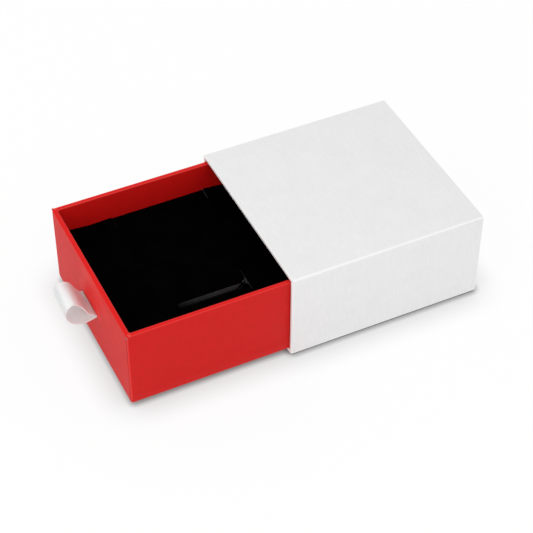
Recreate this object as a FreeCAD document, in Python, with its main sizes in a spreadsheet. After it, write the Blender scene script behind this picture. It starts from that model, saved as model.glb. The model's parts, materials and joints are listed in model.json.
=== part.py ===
import FreeCAD, Part
import Sketcher
import math
import os

# A rigid gift box: a drawer with a ribbon pull slides out of a five-sided sleeve. Sizes are in millimetres.
# The frame has +Z up, the drawer opens towards -Y, and the origin is the centre of the sleeve's underside.
# The drawer is drawn where it rests, pulled part of the way out.

# Driving dimensions: name, value, what it measures.
SIZES = (
    ("sleeve_width", 80.0, "sleeve outside, along X"),
    ("sleeve_length", 82.0, "sleeve outside, along Y"),
    ("sleeve_height", 39.5, "sleeve outside, along Z"),
    ("sleeve_board", 1.3, "grey board of the sleeve"),
    ("sleeve_turn_in", 12.0, "wrap folded into the sleeve's mouth"),
    ("paper", 0.15, "wrapping and lining paper"),
    ("edge_round", 0.7, "outer radius of a wrapped edge"),
    ("still_inside", 15.0, "length of the open drawer that stays in the sleeve"),
    ("side_clearance", 0.3, "drawer to sleeve, each side"),
    ("under_clearance", 0.3, "drawer to the sleeve's floor"),
    ("top_clearance", 0.7, "drawer rim to the sleeve's roof"),
    ("back_clearance", 0.3, "closed drawer to the sleeve's back"),
    ("tray_board", 1.5, "grey board of the drawer"),
    ("glue_line", 0.1, "glue and corner tape under the drawer's wrap"),
    ("tray_turn_in", 15.0, "wrap folded over the rim and down inside"),
    ("tape_width", 9.0, "corner tape on each side of a corner"),
    ("tape_margin", 2.0, "corner tape stops short of the rim"),
    ("well_depth", 12.7, "rim down to the velvet"),
    ("insert_thickness", 10.0, "pad with its velvet"),
    ("insert_clearance", 0.2, "insert to the drawer's walls"),
    ("velvet", 0.5, "velvet over the pad"),
    ("support_thickness", 2.0, "board strip that carries the insert"),
    ("support_margin", 2.0, "strip stops short of the end walls"),
    ("ring_slot_offset", 18.05, "middle of the ring slot from the drawer's middle"),
    ("ring_slot_start", 27.7, "ring slot from the drawer's front"),
    ("ring_slot_length", 29.1, "ring slot along Y"),
    ("ring_slot_depth", 6.5, "hollow under the flaps"),
    ("flap_reach", 4.55, "each flap from its fold to the slit"),
    ("flap_thickness", 2.4, "velvet and foam of a flap"),
    ("flap_taper", 3.3, "a flap's underside starts this far from its fold"),
    ("flap_gap", 0.15, "cut between a flap and what lies beside it"),
    ("far_flap_drop", 1.25, "tip of the far flap below its fold"),
    ("near_flap_drop", 2.67, "tip of the near flap below its fold"),
    ("chain_slit_start", 23.3, "first chain slit from the drawer's front"),
    ("chain_slit_spacing", 39.2, "between the two chain slits"),
    ("chain_slit_length", 5.2, "chain slit from the insert's edge"),
    ("chain_slit_width", 0.5, "opening of a chain slit"),
    ("ribbon_width", 14.8, "satin ribbon"),
    ("ribbon_thickness", 0.4, "satin ribbon"),
    ("ribbon_offset", -1.2, "ribbon's middle from the drawer's middle"),
    ("ribbon_height", 16.7, "ribbon slit above the drawer's underside"),
    ("ribbon_slack", 0.2, "ribbon slit beyond the ribbon, each way"),
    ("ribbon_tail", 10.0, "ribbon glued down inside the front"),
    ("ribbon_start", 0.3, "the moving loop begins this far out of the slit"),
    ("patch_margin", 2.5, "glued patch beyond the tails"),
)

# What follows from them: name, formula.
PLACES = (
    ("wall", "size.sleeve_board + 2 * size.paper"),
    ("half_width", "size.sleeve_width / 2"),
    ("mouth", "-size.sleeve_length / 2"),
    ("rear", "size.sleeve_length / 2"),
    ("tunnel_side", "half_width - wall"),
    ("tunnel_roof", "size.sleeve_height - wall"),
    ("tunnel_end", "rear - wall"),
    ("board_side", "tunnel_side + size.paper"),
    ("board_floor", "wall - size.paper"),
    ("board_roof", "tunnel_roof + size.paper"),
    ("board_end", "tunnel_end + size.paper"),
    ("sleeve_fold", "mouth + size.sleeve_turn_in"),
    ("tray_wall", "size.tray_board + size.glue_line + 2 * size.paper"),
    ("tray_side", "tunnel_side - size.side_clearance"),
    ("tray_back", "mouth + size.still_inside"),
    ("tray_front", "tray_back - size.sleeve_length + wall + size.back_clearance"),
    ("tray_under", "wall + size.under_clearance"),
    ("tray_rim", "tunnel_roof - size.top_clearance"),
    ("skin", "size.paper + size.glue_line"),
    ("inside_side", "tray_side - tray_wall"),
    ("inside_front", "tray_front + tray_wall"),
    ("inside_back", "tray_back - tray_wall"),
    ("inside_floor", "tray_under + tray_wall"),
    ("tray_fold", "tray_rim - size.tray_turn_in"),
    ("insert_top", "tray_rim - size.well_depth"),
    ("insert_under", "insert_top - size.insert_thickness"),
    ("insert_side", "inside_side - size.insert_clearance"),
    ("insert_front", "inside_front + size.insert_clearance"),
    ("insert_back", "inside_back - size.insert_clearance"),
    ("pad_top", "insert_top - size.velvet"),
    ("pad_side", "insert_side - size.velvet"),
    ("pad_front", "insert_front + size.velvet"),
    ("pad_back", "insert_back - size.velvet"),
    ("slot_far", "size.ring_slot_offset - size.flap_reach"),
    ("slot_near", "size.ring_slot_offset + size.flap_reach"),
    ("slot_front", "tray_front + size.ring_slot_start"),
    ("slot_back", "slot_front + size.ring_slot_length"),
    ("slot_floor", "insert_top - size.ring_slot_depth"),
    ("chain_end", "size.chain_slit_length - insert_side"),
    ("slit_middle", "tray_under + size.ribbon_height"),
    ("slit_half_height", "size.ribbon_thickness + size.ribbon_slack"),
    ("ribbon_low", "size.ribbon_offset - size.ribbon_width / 2"),
    ("ribbon_high", "size.ribbon_offset + size.ribbon_width / 2"),
    ("tail_back", "inside_front + 2 * size.ribbon_thickness"),
    ("tail_top", "slit_middle + size.ribbon_thickness"),
    ("tail_end", "slit_middle - size.ribbon_tail"),
    ("patch_top", "tail_top + size.ribbon_slack"),
    ("patch_back", "tail_back + size.paper"),
)

# The pull loop from the side: out of the drawer's front, up from the slit's middle, radius of the bend.
LOOP_TOP = ((2.9, 2.6, 2.5), (6.6, 10.4, 3.8), (13.4, 8.8, 3.0))
LOOP_FOOT = ((9.2, -0.6, 5.2), (4.7, -1.5, 5.0))

# An edge this near to a plane lies on it.
TOUCH = 0.01

doc = FreeCAD.newDocument("drawer_gift_box")
size = doc.addObject("Spreadsheet::Sheet", "size")
place = doc.addObject("Spreadsheet::Sheet", "place")
kept = []


def fill_sheet(sheet, rows):
    """One row of the sheet for each (name, text, note)."""
    for line, (name, text, note) in enumerate(rows, start=1):
        sheet.set(f"A{line}", name)
        sheet.set(f"B{line}", text)
        sheet.set(f"C{line}", note)
        sheet.setAlias(f"B{line}", name)


def value(expression):
    """The number that an expression on the two sheets gives now."""
    return float(place.evalExpression(expression))


def keep(label, piece):
    """Marks a finished sub-part, which is written to its own file."""
    piece.Label = label
    kept.append(piece)
    return piece


def block(x, y, z):
    """A box between two expressions along each axis."""
    box = doc.addObject("Part::Box", "block")
    for side, axis, (low, high) in zip(("Length", "Width", "Height"), "xyz", (x, y, z)):
        box.setExpression(side, f"({high}) - ({low})")
        box.setExpression(f"Placement.Base.{axis}", low)
    return box


def even(reach):
    """From minus an expression to plus the same."""
    return f"-({reach})", reach


def cut(base, *tools):
    """base with every tool taken away."""
    for tool in tools:
        result = doc.addObject("Part::Cut", "cut")
        result.Base = base
        result.Tool = tool
        base = result
    return base


def fused(*pieces):
    """The pieces as one solid."""
    result = doc.addObject("Part::MultiFuse", "fused")
    result.Shapes = list(pieces)
    return result


def group(*pieces):
    """The pieces side by side, each its own solid."""
    result = doc.addObject("Part::Compound", "group")
    result.Links = list(pieces)
    return result


def common(base, tool):
    """What base and tool share."""
    result = doc.addObject("Part::Common", "common")
    result.Base = base
    result.Tool = tool
    return result


def rounded(base, radius, wanted):
    """base with each edge that wanted(edge) picks rounded to the radius that the expression gives."""
    doc.recompute()
    result = doc.addObject("Part::Fillet", "rounded")
    result.Base = base
    amount = value(radius)
    edges = enumerate(base.Shape.Edges, start=1)
    result.Edges = [(index, amount, amount) for index, edge in edges if wanted(edge)]
    return result


def runs_along(edge, axis):
    """Whether a straight edge runs along axis 0, 1 or 2."""
    direction = edge.Vertexes[-1].Point - edge.Vertexes[0].Point
    return abs(direction[axis]) > 0.99 * direction.Length


def middle(edge):
    return edge.BoundBox.Center


def sketch_on(body, role, offset="0"):
    """A sketch on one of the body's origin planes, moved along its normal by an expression."""
    sketch = body.newObject("Sketcher::SketchObject", "sketch")
    plane = next(item for item in body.Origin.OriginFeatures if item.Role == role)
    sketch.AttachmentSupport = [(plane, "")]
    sketch.MapMode = "FlatFace"
    sketch.setExpression("AttachmentOffset.Base.z", offset)
    return sketch


def outline(sketch, corners):
    """A closed run of straight lines whose corners are held by pairs of expressions."""
    points = [FreeCAD.Vector(value(across), value(up), 0) for across, up in corners]
    ends = points[1:] + points[:1]
    lines = [sketch.addGeometry(Part.LineSegment(a, b)) for a, b in zip(points, ends)]
    for index, line in enumerate(lines):
        follower = lines[(index + 1) % len(lines)]
        sketch.addConstraint(Sketcher.Constraint("Coincident", line, 2, follower, 1))
    for line, point, corner in zip(lines, points, corners):
        for kind, number, expression in zip(("DistanceX", "DistanceY"), point, corner):
            held = sketch.addConstraint(Sketcher.Constraint(kind, -1, 1, line, 1, number))
            sketch.setExpression(f"Constraints[{held}]", expression)


def rectangle(across, up):
    """The corners of a rectangle between two expressions each way."""
    return [(across[0], up[0]), (across[1], up[0]), (across[1], up[1]), (across[0], up[1])]


def pad(body, sketch, length, backwards=False):
    feature = body.newObject("PartDesign::Pad", "pad")
    feature.Profile = sketch
    feature.setExpression("Length", length)
    feature.Reversed = backwards
    return feature


def pocket(body, sketch, length, backwards=False):
    """Cuts the sketch into the body and makes sure that it took something away."""
    doc.recompute()
    before = body.Shape.Volume
    feature = body.newObject("PartDesign::Pocket", "pocket")
    feature.Profile = sketch
    feature.setExpression("Length", length)
    feature.Reversed = backwards
    doc.recompute()
    if body.Shape.Volume >= before:
        raise RuntimeError(f"a pocket in {body.Label} cuts nothing")
    return feature


# ---- Sleeve


def sleeve_block(inset, radius):
    """The sleeve's outer form, smaller by inset all round, with its long and back edges rounded."""
    form = block(
        even(f"place.half_width - {inset}"),
        (f"place.mouth + {inset}", f"place.rear - {inset}"),
        (inset, f"size.sleeve_height - {inset}"),
    )
    half_depth = value(f"place.rear - {inset}")

    def wanted(edge):
        return runs_along(edge, 1) or middle(edge).y > half_depth - TOUCH

    return rounded(form, radius, wanted)


def sleeve_boards():
    """Five grey boards: the back covers the others' ends, and the sides stand between floor and roof."""
    hollow = block(
        even("place.board_side"),
        ("place.mouth - 1", "place.board_end"),
        ("place.board_floor", "place.board_roof"),
    )
    core = cut(sleeve_block("size.paper", "size.edge_round"), hollow)
    whole_width = even("place.half_width")
    whole_height = ("0", "size.sleeve_height")
    depth = ("place.mouth", "place.board_end")
    between = ("place.board_floor", "place.board_roof")
    zones = {
        "sleeve_bottom_board": (whole_width, depth, ("0", "place.board_floor")),
        "sleeve_top_board": (whole_width, depth, ("place.board_roof", "size.sleeve_height")),
        "sleeve_left_board": (("-place.half_width", "-place.board_side"), depth, between),
        "sleeve_right_board": (("place.board_side", "place.half_width"), depth, between),
        "sleeve_back_board": (whole_width, ("place.board_end", "place.rear"), whole_height),
    }
    for label, zone in zones.items():
        keep(label, common(core, block(*zone)))


def sleeve_papers():
    """White wrap round the outside and into the mouth, its panel under the box, and the lining inside."""
    closed = cut(
        sleeve_block("0", "size.edge_round"),
        sleeve_block("size.paper", "size.edge_round - size.paper"),
    )
    tunnel = (even("place.tunnel_side"), ("place.wall", "place.tunnel_roof"))
    boards = (even("place.board_side"), ("place.board_floor", "place.board_roof"))
    opening = block(tunnel[0], ("place.mouth - 1", "place.sleeve_fold"), tunnel[1])
    fold = cut(
        block(boards[0], ("place.mouth + size.paper", "place.sleeve_fold"), boards[1]),
        block(tunnel[0], ("place.mouth - 1", "place.sleeve_fold + 1"), tunnel[1]),
    )
    base = (
        even("place.half_width - size.edge_round"),
        ("place.mouth + size.edge_round", "place.rear - size.edge_round"),
    )
    wrap = fused(cut(closed, opening), fold)
    keep("sleeve_wrap", cut(wrap, block(*base, ("-1", "size.paper"))))
    keep("sleeve_base_sheet", block(*base, ("0", "size.paper")))
    keep(
        "sleeve_lining",
        cut(
            block(boards[0], ("place.sleeve_fold", "place.board_end"), boards[1]),
            block(tunnel[0], ("place.sleeve_fold - 1", "place.tunnel_end"), tunnel[1]),
        ),
    )


# ---- Drawer


def tray_block(inset, top, radius):
    """The drawer's outer form up to top, smaller by inset elsewhere, its corners and lower edges rounded."""
    form = block(
        even(f"place.tray_side - {inset}"),
        (f"place.tray_front + {inset}", f"place.tray_back - {inset}"),
        (f"place.tray_under + {inset}", top),
    )
    lowest = value(f"place.tray_under + {inset}")

    def wanted(edge):
        return runs_along(edge, 2) or middle(edge).z < lowest + TOUCH

    return rounded(form, radius, wanted)


def tray_boards():
    """The base and, standing on it, the four walls. The front has the slit that the ribbon passes through."""
    inner_side = "place.inside_side + size.paper"
    inner_front = "place.inside_front - size.paper"
    inner_back = "place.inside_back + size.paper"
    base_top = "place.inside_floor - size.paper"
    rim = "place.tray_rim - size.paper"
    hollow = block(even(inner_side), (inner_front, inner_back), (base_top, "place.tray_rim + 1"))
    core = cut(tray_block("place.skin", rim, "size.edge_round"), hollow)
    whole_width = even("place.tray_side")
    whole_depth = ("place.tray_front", "place.tray_back")
    walls = (base_top, rim)
    zones = {
        "drawer_base_board": (whole_width, whole_depth, ("place.tray_under", base_top)),
        "drawer_left_board": (("-place.tray_side", f"-({inner_side})"), whole_depth, walls),
        "drawer_right_board": ((inner_side, "place.tray_side"), whole_depth, walls),
        "drawer_back_board": (even(inner_side), (inner_back, "place.tray_back"), walls),
    }
    for label, zone in zones.items():
        keep(label, common(core, block(*zone)))

    front = doc.addObject("PartDesign::Body", "front_board")
    face = sketch_on(front, "XZ_Plane", f"-({inner_front})")
    outline(face, rectangle(even(inner_side), walls))
    pad(front, face, "size.tray_board")
    slit = sketch_on(front, "XZ_Plane", f"-({inner_front})")
    slit_width = ("place.ribbon_low - size.ribbon_slack", "place.ribbon_high + size.ribbon_slack")
    slit_height = (
        "place.slit_middle - place.slit_half_height",
        "place.slit_middle + place.slit_half_height",
    )
    outline(slit, rectangle(slit_width, slit_height))
    pocket(front, slit, "size.tray_board", backwards=True)
    keep("drawer_front_board", front)


def tray_papers():
    """Red wrap round the outside and over the rim, tapes on the corners and the sheet inside on the base."""
    fold_floor = "place.tray_fold"
    closed = cut(
        tray_block("0", "place.tray_rim", "size.edge_round"),
        tray_block("size.paper", "place.tray_rim - size.paper", "size.edge_round - size.paper"),
    )
    inside = (even("place.inside_side"), ("place.inside_front", "place.inside_back"))
    boards = (
        even("place.inside_side + size.paper"),
        ("place.inside_front - size.paper", "place.inside_back + size.paper"),
    )
    fold = cut(
        block(*boards, (fold_floor, "place.tray_rim - size.paper")),
        block(*inside, (f"{fold_floor} - 1", "place.tray_rim + 1")),
    )
    opening = block(*inside, (fold_floor, "place.tray_rim + 1"))
    slit = block(
        ("place.ribbon_low - size.ribbon_slack", "place.ribbon_high + size.ribbon_slack"),
        ("place.tray_front - 1", "place.inside_front + 1"),
        ("place.slit_middle - place.slit_half_height", "place.slit_middle + place.slit_half_height"),
    )
    wrap = fused(cut(closed, opening), fold)
    keep("drawer_wrap", cut(wrap, slit))
    base_sheet = ("place.inside_floor - size.paper", "place.inside_floor")
    keep("drawer_base_lining", block(*boards, base_sheet))

    tape_top = "place.tray_rim - size.tape_margin"
    ring = cut(
        tray_block("size.paper", tape_top, "size.edge_round"),
        tray_block("place.skin", f"{tape_top} + 1", "size.edge_round - size.glue_line"),
    )
    sides = ("place.tray_side - size.tape_width", "place.tray_side + 1")
    ends = (
        ("place.tray_front - 1", "place.tray_front + size.tape_width"),
        ("place.tray_back - size.tape_width", "place.tray_back + 1"),
    )
    height = ("place.inside_floor", "place.tray_rim")
    corners = []
    for low, high in (sides, (f"-({sides[1]})", f"-({sides[0]})")):
        for end in ends:
            corners.append(common(ring, block((low, high), end, height)))
    keep("drawer_corner_tapes", group(*corners))


# ---- Ribbon pull


def bent_line(points, radii):
    """A wire of straight runs, with an arc of its own radius at each inner point."""
    edges = []
    start = points[0]
    for before, corner, after, radius in zip(points, points[1:], points[2:], radii):
        towards = (before - corner).normalize()
        away = (after - corner).normalize()
        half_angle = towards.getAngle(away) / 2
        reach = radius / math.tan(half_angle)
        first = corner + towards * reach
        last = corner + away * reach
        bisector = (towards + away).normalize()
        centre = corner + bisector * (radius / math.sin(half_angle))
        halfway = centre - bisector * radius
        edges.append(Part.LineSegment(start, first).toShape())
        edges.append(Part.Arc(first, halfway, last).toShape())
        start = last
    edges.append(Part.LineSegment(start, points[-1]).toShape())
    return Part.Wire(edges)


def ribbon_pull():
    """The loop outside the front, and its ends, which pass through the slit and are glued under a patch."""
    thickness = value("size.ribbon_thickness")
    begin = value("size.ribbon_start")
    bends = [*LOOP_TOP, *LOOP_FOOT]
    route = [(begin, thickness, 0), *bends, (begin, -thickness, 0)]
    front = value("place.tray_front")
    middle_height = value("place.slit_middle")
    low = value("place.ribbon_low")
    points = [FreeCAD.Vector(low, front - out, middle_height + up) for out, up, _ in route]
    line = bent_line(points, [radius for _, _, radius in bends])
    band = line.makeOffset2D(-thickness, 0, True, True, False)
    loop = doc.addObject("Part::Feature", "ribbon_loop")
    loop.Shape = band.extrude(FreeCAD.Vector(value("size.ribbon_width"), 0, 0))
    keep("ribbon_loop", loop)

    tails = doc.addObject("PartDesign::Body", "ribbon_tails")
    side = sketch_on(tails, "YZ_Plane", "place.ribbon_low")
    foot = "place.slit_middle - size.ribbon_thickness"
    outline(
        side,
        [
            ("place.tray_front", foot),
            ("place.inside_front", foot),
            ("place.inside_front", "place.tail_end"),
            ("place.tail_back", "place.tail_end"),
            ("place.tail_back", "place.tail_top"),
            ("place.tray_front", "place.tail_top"),
        ],
    )
    pad(tails, side, "size.ribbon_width")
    keep("ribbon_tails", tails)
    keep(
        "ribbon_patch",
        block(
            ("place.ribbon_low - size.patch_margin", "place.ribbon_high + size.patch_margin"),
            ("place.tail_back", "place.patch_back"),
            ("place.tail_end", "place.patch_top"),
        ),
    )


# ---- Insert


def insert_pieces():
    """A foam pad under velvet on two board strips, with slits at its left edge and a slot for a ring."""
    whole = (even("place.insert_side"), ("place.insert_front", "place.insert_back"))
    core = (even("place.pad_side"), ("place.pad_front", "place.pad_back"))
    slot = (("place.slot_far", "place.slot_near"), ("place.slot_front", "place.slot_back"))
    heights = ("place.insert_under", "place.pad_top")
    first_slit = "place.tray_front + size.chain_slit_start"
    slits = [
        (
            ("-place.insert_side - 1", "place.chain_end"),
            (f"{middle} - size.chain_slit_width / 2", f"{middle} + size.chain_slit_width / 2"),
        )
        for middle in (first_slit, f"{first_slit} + size.chain_slit_spacing")
    ]
    relief = (
        ("place.ribbon_low - size.patch_margin - 1", "place.ribbon_high + size.patch_margin + 1"),
        ("place.insert_front - 1", "place.patch_back + size.insert_clearance"),
        ("place.insert_under - 1", "place.patch_top + 1"),
    )

    foam = doc.addObject("PartDesign::Body", "insert_pad")
    plan = sketch_on(foam, "XY_Plane", "place.pad_top")
    outline(plan, rectangle(*core))
    pad(foam, plan, "place.pad_top - place.insert_under", backwards=True)
    trench = sketch_on(foam, "XY_Plane", "place.pad_top")
    outline(trench, rectangle(*slot))
    pocket(foam, trench, "place.pad_top - place.slot_floor")
    for across, along in slits:
        cut_line = sketch_on(foam, "XY_Plane", "place.pad_top")
        outline(cut_line, rectangle(across, along))
        pocket(foam, cut_line, "place.pad_top - place.insert_under")
    hollow = sketch_on(foam, "XY_Plane", "place.patch_top + 1")
    outline(hollow, rectangle(relief[0], relief[1]))
    pocket(foam, hollow, "place.patch_top + 2 - place.insert_under")
    keep("insert_pad", foam)

    velvet = cut(
        block(*whole, ("place.insert_under", "place.insert_top")),
        block(*core, (f"{heights[0]} - 1", heights[1])),
        block(*slot, ("place.insert_under", "place.insert_top + 1")),
        block(*relief),
        *(block(*slit, ("place.insert_under - 1", "place.insert_top + 1")) for slit in slits),
    )
    keep("insert_cover", velvet)

    strip_length = ("place.inside_front + size.support_margin", "place.inside_back - size.support_margin")
    strip_height = ("place.inside_floor", "place.insert_under")
    wall = "place.inside_side + size.paper"
    inner = f"{wall} - size.support_thickness"
    keep("insert_support_left", block((f"-({wall})", f"-({inner})"), strip_length, strip_height))
    keep("insert_support_right", block((inner, wall), strip_length, strip_height))


def ring_flap(label, fold, side, drop):
    """One flap of the ring slot, drawn flat and turned down by its tip's drop. side is 1 towards +X."""
    flap = doc.addObject("PartDesign::Body", label)
    profile = sketch_on(flap, "XZ_Plane", "-(place.slot_front + size.flap_gap)")
    near = f"{side} * size.flap_gap"
    tip = f"{side} * (size.flap_reach - size.flap_gap)"
    start = f"{side} * size.flap_taper"
    corners = [(near, "0"), (tip, "0"), (tip, "-size.flap_thickness"), (start, "-size.flap_thickness")]
    outline(profile, corners)
    pad(flap, profile, "size.ring_slot_length - 2 * size.flap_gap", backwards=True)
    flap.setExpression("Placement.Base.x", fold)
    flap.setExpression("Placement.Base.z", "place.insert_top")
    fall = math.degrees(math.asin(value(f"{drop} / size.flap_reach")))
    flap.Placement.Rotation = FreeCAD.Rotation(FreeCAD.Vector(0, side, 0), fall)
    keep(label, flap)


# ---- Build, check and write


def check(objects):
    """Stops if an object failed to recompute or a sub-part is not a sound shape."""
    for item in doc.Objects:
        if "Invalid" in item.State or "Error" in item.State:
            raise RuntimeError(f"{item.Label} failed: {item.State}")
    for piece in objects:
        shape = piece.Shape
        if shape.isNull() or not shape.isValid() or not shape.Solids:
            raise RuntimeError(f"{piece.Label} has no sound shape")


def write(objects):
    os.makedirs("parts", exist_ok=True)
    for piece in objects:
        piece.Shape.exportStep(os.path.join("parts", f"{piece.Label}.step"))
        print(f"{piece.Label}: {len(piece.Shape.Solids)} solid, {piece.Shape.Volume:.1f} mm3")


fill_sheet(size, [(name, str(number), note) for name, number, note in SIZES])
fill_sheet(place, [(name, f"={formula}", "") for name, formula in PLACES])
doc.recompute()
sleeve_boards()
sleeve_papers()
tray_boards()
tray_papers()
ribbon_pull()
insert_pieces()
ring_flap("ring_flap_far", "place.slot_far", 1, "size.far_flap_drop")
ring_flap("ring_flap_near", "place.slot_near", -1, "size.near_flap_drop")
doc.recompute()
check(kept)
write(kept)
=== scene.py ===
"""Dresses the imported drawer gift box: papers, velvet insert, ribbon pull, boards and a stage."""

import json
import math
from typing import NamedTuple

import bmesh
import bpy
from bpy.props import FloatProperty, FloatVectorProperty, PointerProperty
from mathutils import Matrix, Vector


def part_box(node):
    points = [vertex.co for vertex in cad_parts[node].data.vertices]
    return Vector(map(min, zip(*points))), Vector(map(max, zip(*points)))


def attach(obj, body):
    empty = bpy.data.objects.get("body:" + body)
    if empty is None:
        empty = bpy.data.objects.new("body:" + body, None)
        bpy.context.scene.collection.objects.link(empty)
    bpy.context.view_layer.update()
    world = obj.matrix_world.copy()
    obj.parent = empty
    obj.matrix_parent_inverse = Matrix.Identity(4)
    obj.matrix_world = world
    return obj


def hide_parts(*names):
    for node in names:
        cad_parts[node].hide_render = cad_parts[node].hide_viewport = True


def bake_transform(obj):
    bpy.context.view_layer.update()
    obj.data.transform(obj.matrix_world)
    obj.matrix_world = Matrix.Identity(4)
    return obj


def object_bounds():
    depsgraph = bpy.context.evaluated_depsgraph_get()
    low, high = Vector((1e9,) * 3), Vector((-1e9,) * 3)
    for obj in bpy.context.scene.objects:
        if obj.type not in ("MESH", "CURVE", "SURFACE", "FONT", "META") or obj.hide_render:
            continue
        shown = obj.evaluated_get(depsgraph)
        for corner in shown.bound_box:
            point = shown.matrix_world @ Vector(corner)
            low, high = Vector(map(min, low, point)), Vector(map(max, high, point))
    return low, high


bl_info = {
    "name": "Drawer gift box",
    "version": (1, 0, 0),
    "blender": (4, 5, 0),
    "location": "3D View > Sidebar > Gift box",
    "description": "Dresses a drawer gift box's packed parts with papers, insert, ribbon and stage",
    "category": "Object",
}

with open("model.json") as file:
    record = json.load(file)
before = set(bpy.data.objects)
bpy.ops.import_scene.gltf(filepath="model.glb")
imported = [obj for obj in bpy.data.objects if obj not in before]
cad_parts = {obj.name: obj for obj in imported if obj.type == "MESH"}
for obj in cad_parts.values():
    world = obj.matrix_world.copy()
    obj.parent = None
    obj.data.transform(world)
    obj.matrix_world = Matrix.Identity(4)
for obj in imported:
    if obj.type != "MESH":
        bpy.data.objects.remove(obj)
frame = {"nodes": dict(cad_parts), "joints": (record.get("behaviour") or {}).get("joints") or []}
CAD_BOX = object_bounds()
NODES = frame["nodes"]
MM = 0.001
SLEEVE_LOW, SLEEVE_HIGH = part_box("sleeve_wrap")
TRAY_LOW, TRAY_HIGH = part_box("drawer_wrap")
PAD_LOW, PAD_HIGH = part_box("insert_cover")
TAILS_LOW, TAILS_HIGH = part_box("ribbon_tails")
RIBBON_HALF = (TAILS_HIGH.x - TAILS_LOW.x) / 2


def hinge(name):
    """Where a joint's axis passes."""
    return next(joint["pos_m"] for joint in frame["joints"] if joint["name"] == name)


# ---- Settings


def colour_setting(name, description, default):
    """A colour that can be set."""
    return FloatVectorProperty(
        name=name, description=description, subtype="COLOR", size=3, min=0, max=1, default=default,
    )


def length_setting(name, description, least, most, default):
    """A length that can be set, from least to most."""
    return FloatProperty(
        name=name, description=description, unit="LENGTH", min=least, max=most, default=default,
    )


def amount_setting(name, description, subtype, most, default):
    """An amount that can be set, from nothing to most."""
    return FloatProperty(
        name=name, description=description, subtype=subtype, min=0, max=most, default=default,
    )


class GiftBoxPaper(bpy.types.PropertyGroup):
    """The papers of the sleeve and the drawer."""

    white: colour_setting(
        "Sleeve white", "Colour of the sleeve's linen paper", (0.835, 0.835, 0.835),
    )
    red: colour_setting("Drawer red", "Colour of the drawer's paper", (0.605, 0.006, 0.0045))
    thickness: length_setting("Paper", "Thickness of the wrapping paper", 0.0001, 0.0003, 0.00015)
    corner_radius: length_setting(
        "Corner radius", "Roundness of a wrapped outer edge", 0.0003, 0.0015, 0.0007,
    )
    sleeve_radius: length_setting(
        "Sleeve edge radius", "Roundness of the sleeve's long and back edges",
        0.0003, 0.0015, 0.00105,
    )
    rim_radius: length_setting(
        "Rim radius", "Roundness of the folds along a board's cut edge", 0.0001, 0.0008, 0.00045,
    )
    flap_step: length_setting(
        "Flap step", "How far the sheet over the drawer's ends stands proud of the tabs under it",
        0, 0.0003, 0.0001,
    )
    thread: length_setting(
        "Thread pitch", "Distance between two embossed threads of the linen",
        0.0001, 0.002, 0.00035,
    )


class GiftBoxInsert(bpy.types.PropertyGroup):
    """The velvet insert."""

    velvet: colour_setting("Velvet", "Colour of the velvet", (0.0004, 0.0004, 0.00045))
    foam: colour_setting("Foam", "Colour of the foam under the velvet", (0.17, 0.17, 0.18))
    edge_radius: length_setting(
        "Edge radius", "Roundness of the insert's upper edge", 0.0002, 0.003, 0.0009,
    )
    tab_sag: length_setting(
        "Tab sag", "How far the tab between the chain slits is pressed down", 0, 0.002, 0.00045,
    )


class GiftBoxRibbon(bpy.types.PropertyGroup):
    """The satin pull."""

    # Painted light: the satin's white is set a little cool, against the red light the drawer throws
    # on it.
    satin: colour_setting("Satin", "Colour of the ribbon", (0.912, 0.967, 0.967))
    thickness: length_setting("Ribbon", "Thickness of the ribbon", 0.0001, 0.0004, 0.00037)


class GiftBoxStage(bpy.types.PropertyGroup):
    """The light and the floor."""

    sky: amount_setting("Sky", "Strength of the even light from all round", "NONE", 2, 0.9)
    lamp: amount_setting("Lamp", "Power of the large lamp in front", "POWER", 100, 0.45)
    side_lamp: amount_setting(
        "Side lamp", "Power of the large lamp on the drawer's right", "POWER", 100, 0.2,
    )
    floor_lift: amount_setting(
        "Floor lift", "Share of plain white in the floor that the camera sees", "FACTOR", 1, 0.9,
    )


# ---- Modelling by hand, in code


def finish_editing():
    """Object mode, with nothing selected."""
    if bpy.context.object and bpy.context.object.mode != "OBJECT":
        bpy.ops.object.mode_set(mode="OBJECT")
    bpy.ops.object.select_all(action="DESELECT")


def settled(name):
    """Names the new object and puts its place into its mesh."""
    piece = bpy.context.object
    piece.name = name
    piece.data.name = name
    bpy.ops.object.transform_apply(location=True, rotation=True, scale=True)
    return piece


def add_block(name, low, high):
    """A box between two corners."""
    finish_editing()
    low, high = Vector(low), Vector(high)
    bpy.ops.mesh.primitive_cube_add(size=1, location=(low + high) / 2, scale=high - low)
    return settled(name)


def work_on(piece):
    """Makes the piece the only selected and the active object."""
    finish_editing()
    piece.select_set(True)
    bpy.context.view_layer.objects.active = piece


def edit_all(piece):
    """Edit mode, with the whole piece selected."""
    work_on(piece)
    bpy.ops.object.mode_set(mode="EDIT")
    bpy.ops.mesh.select_all(action="SELECT")


def pick(piece, kind, wanted):
    """Edit mode, with only the "faces", "edges" or "verts" that wanted() takes selected."""
    if bpy.context.object is not piece or piece.mode != "EDIT":
        work_on(piece)
        bpy.ops.object.mode_set(mode="EDIT")
    bpy.ops.mesh.select_mode(type={"faces": "FACE", "edges": "EDGE", "verts": "VERT"}[kind])
    bpy.ops.mesh.select_all(action="DESELECT")
    shape = bmesh.from_edit_mesh(piece.data)
    found = [item for item in getattr(shape, kind) if wanted(item)]
    for item in found:
        item.select_set(True)
    shape.select_flush_mode()
    bmesh.update_edit_mesh(piece.data)
    if not found:
        raise RuntimeError(f"{piece.name}: no such {kind} to work on")


def push(y):
    """Moves what is selected along Y."""
    bpy.ops.transform.translate(value=(0.0, y, 0.0))


def extrude(x=0.0, y=0.0, z=0.0):
    """Extrudes what is selected."""
    bpy.ops.mesh.extrude_region_move(TRANSFORM_OT_translate={"value": (x, y, z)})


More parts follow.
